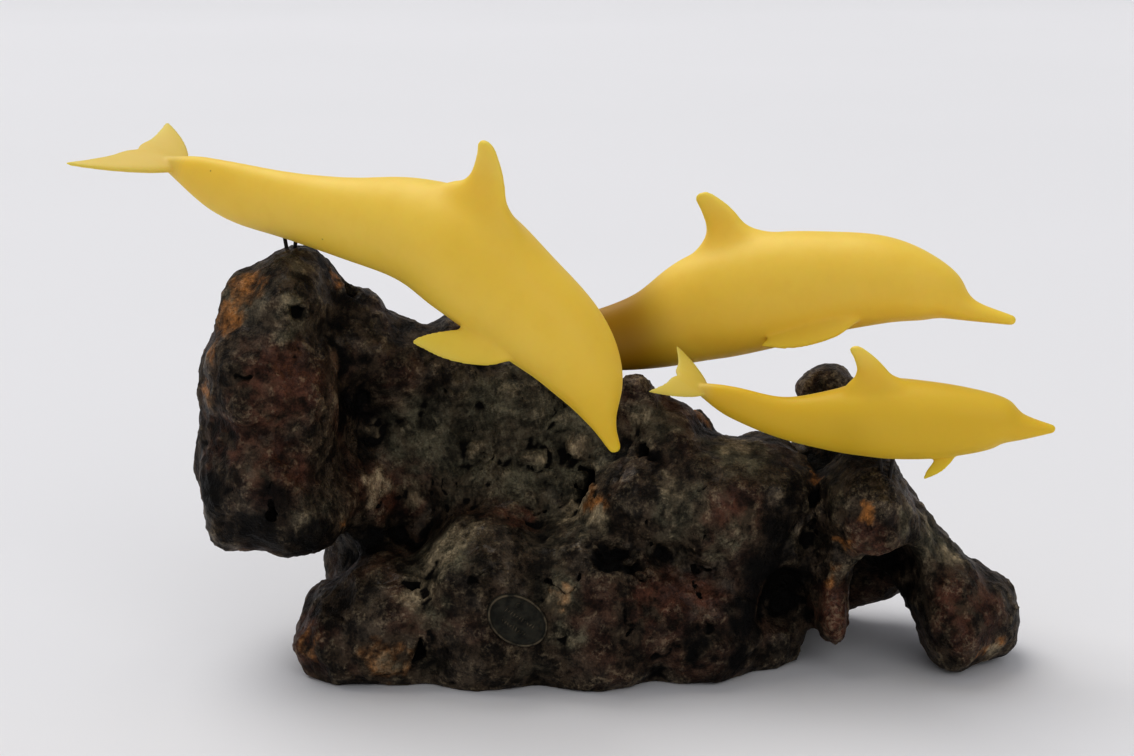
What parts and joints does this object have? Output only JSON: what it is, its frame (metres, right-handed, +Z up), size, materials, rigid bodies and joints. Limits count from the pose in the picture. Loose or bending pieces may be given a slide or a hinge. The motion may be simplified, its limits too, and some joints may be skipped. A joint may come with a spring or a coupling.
{
  "type": "dolphin group sculpture",
  "caption": "Yellow cast dolphins held by thin bent wires above a flat-bottomed burl wood base that carries a small oval badge",
  "frame": {"origin": "On the sawn flat underside of the base, below the middle of the front where the picture looks", "axes": "+Z is up, +X runs along the base towards the foot with the arch, -Y is the front with the badge"},
  "size_m": [0.3656, 0.1578, 0.2071],
  "materials": {
    "burl_wood": "weathered dark burl, matt with a little wax on its high spots",
    "yellow_resin": "satin, slightly translucent golden yellow",
    "blackened_wire": "dull black",
    "dark_bronze": "dark brown patina"
  },
  "bodies": {
    "root": {"burl_base": "burl_wood", "leaping_dolphin": "yellow_resin", "gliding_dolphin": "yellow_resin", "calf_dolphin": "yellow_resin", "leaping_dolphin_wire": "blackened_wire", "gliding_dolphin_wire": "blackened_wire", "calf_dolphin_wire": "blackened_wire", "oval_badge": "dark_bronze"}
  },
  "joints": []
}
